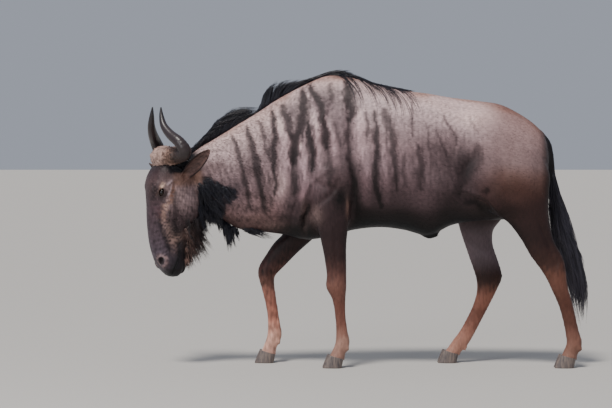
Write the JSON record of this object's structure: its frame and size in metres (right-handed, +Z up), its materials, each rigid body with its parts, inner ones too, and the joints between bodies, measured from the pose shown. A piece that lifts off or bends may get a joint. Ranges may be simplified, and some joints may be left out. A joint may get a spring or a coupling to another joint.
{
  "type": "wildebeest",
  "caption": "Still life-size model of a blue wildebeest bull walking with its head low, with boss and horns, dark stripes, black mane, beard and tail.",
  "frame": {"origin": "on the floor under the middle of the animal's box", "axes": "+X towards the tail along the body, +Y to the animal's right side, +Z up"},
  "size_m": [2.0587, 0.4809, 1.3831],
  "materials": {
    "coat": "short sleek fur with darker stripes",
    "face": "short black fur",
    "hair": "long black hair",
    "horn": "smooth dark horn, rough pale boss",
    "hoof": "dull grey hoof horn",
    "eye": "wet and glossy"
  },
  "bodies": {
    "root": {"torso": "coat", "neck": "coat", "ear_left": "coat", "ear_right": "coat", "foreleg_left": "coat", "foreleg_right": "coat", "hindleg_left": "coat", "hindleg_right": "coat", "head": "face", "mane_neck": "hair", "mane_shoulder": "hair", "mane_withers": "hair", "beard_chin": "hair", "beard_throat": "hair", "tail": "hair", "tail_tuft": "hair", "horn_left": "horn", "horn_right": "horn", "eye_left": "eye", "eye_right": "eye", "forehoof_left_a": "hoof", "forehoof_left_b": "hoof", "forehoof_right_a": "hoof", "forehoof_right_b": "hoof", "hindhoof_left_a": "hoof", "hindhoof_left_b": "hoof", "hindhoof_right_a": "hoof", "hindhoof_right_b": "hoof"}
  },
  "joints": []
}
